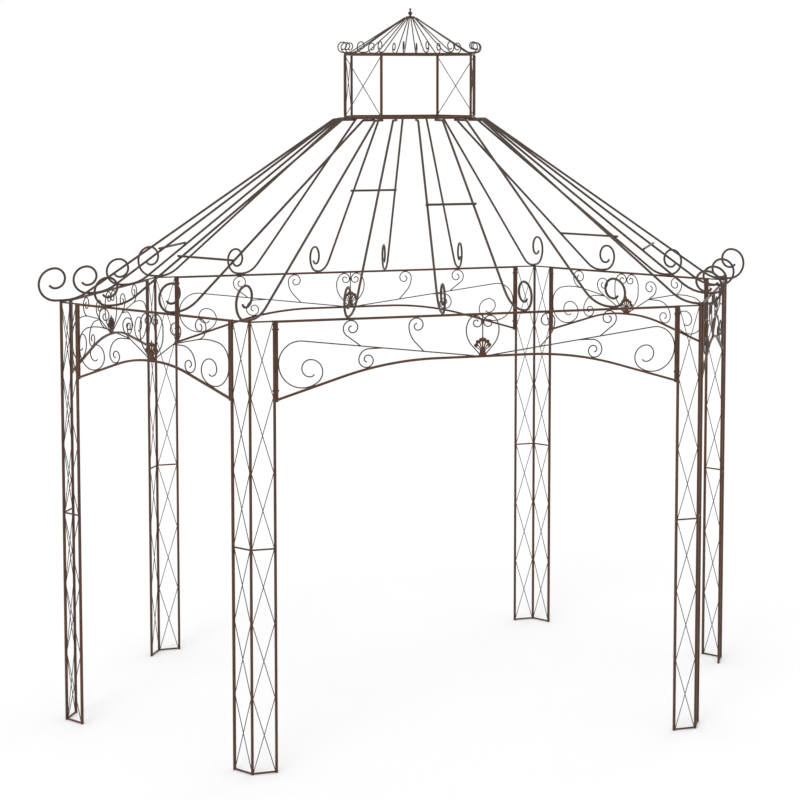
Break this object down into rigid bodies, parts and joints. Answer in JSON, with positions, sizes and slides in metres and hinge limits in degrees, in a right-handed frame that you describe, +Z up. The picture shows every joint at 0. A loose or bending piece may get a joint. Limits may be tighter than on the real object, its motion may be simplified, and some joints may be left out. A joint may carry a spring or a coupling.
{
  "type": "metal garden gazebo",
  "caption": "Open six-sided garden gazebo of thin brown metal bars with lattice posts, scrolled arches, bare rafters and a roof lantern.",
  "frame": {"origin": "on the ground under the middle of the plan", "axes": "+Z up, the long sides face -Y (front) and +Y (back), the end posts lie on the X axis"},
  "size_m": [4.2514, 2.6214, 3.9365],
  "materials": {
    "tube": "antique brown powder coat, satin",
    "rod": "antique brown powder coat on round rod, satin",
    "casting": "antique brown powder coat on castings, satin"
  },
  "bodies": {
    "root": {"left_post_front_face": "tube", "left_post_back_face": "tube", "front_left_post_front_face": "tube", "front_left_post_side_face": "tube", "front_right_post_front_face": "tube", "front_right_post_side_face": "tube", "right_post_front_face": "tube", "right_post_back_face": "tube", "back_right_post_back_face": "tube", "back_right_post_side_face": "tube", "back_left_post_back_face": "tube", "back_left_post_side_face": "tube", "front_arch": "tube", "front_right_arch": "tube", "back_right_arch": "tube", "back_arch": "tube", "back_left_arch": "tube", "front_left_arch": "tube", "front_shell": "casting", "front_right_shell": "casting", "back_right_shell": "casting", "back_shell": "casting", "back_left_shell": "casting", "front_left_shell": "casting", "front_rafters": "rod", "front_right_rafters": "rod", "back_right_rafters": "rod", "back_rafters": "rod", "back_left_rafters": "rod", "front_left_rafters": "rod", "corner_rafters": "rod", "roof_crossbars": "rod", "lantern_base_ring": "tube", "lantern_posts": "tube", "lantern_braces": "rod", "lantern_top_ring": "tube", "lantern_rafters": "rod", "lantern_hub": "casting", "finial": "casting"}
  },
  "joints": []
}
